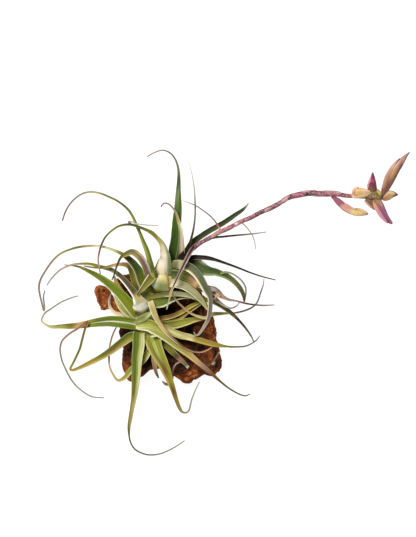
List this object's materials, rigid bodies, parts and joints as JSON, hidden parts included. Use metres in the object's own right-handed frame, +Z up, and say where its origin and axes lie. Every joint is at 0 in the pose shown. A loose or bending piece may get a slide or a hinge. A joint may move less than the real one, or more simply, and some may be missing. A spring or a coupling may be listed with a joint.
{
  "type": "air plant on bark",
  "caption": "Air plant with channelled, thread-tipped leaves on a rough piece of bark, with a long leaning flower scape that ends in an open head of pink and cream spikes.",
  "frame": {"origin": "middle of the bark's flat back, which the object rests on", "axes": "+Z up, out of the bark's face towards the leaves; +X towards the flower head; +Y towards the upper shoot's tall leaf"},
  "size_m": [0.279, 0.2302, 0.0788],
  "materials": {
    "bark": "rough, unfinished bark",
    "lower_leaves": "leathery yellow-green leaf, matt with a silver bloom",
    "upper_leaves": "leathery dark green to grey leaf, matt with a silver bloom",
    "scape": "mauve-pink stalk, satin",
    "spike_tan": "peach and brown bract, satin",
    "spike_pink": "pink and maroon bract, satin",
    "spike_mauve": "mauve bract, satin",
    "spike_peach": "magenta and peach bract, satin",
    "bract_cream": "cream bract, satin",
    "bract_olive": "olive bract, satin",
    "bract_brown": "brown bract, satin"
  },
  "bodies": {
    "root": {"bark_mount": "bark", "lower_leafy_shoot": "lower_leaves", "upper_leafy_shoot": "upper_leaves", "flower_scape": "scape", "spike_large": "spike_tan", "spike_short": "spike_pink", "spike_mauve": "spike_mauve", "spike_side": "spike_peach", "bract_cream": "bract_cream", "bract_olive": "bract_olive", "bract_brown": "bract_brown"}
  },
  "joints": []
}
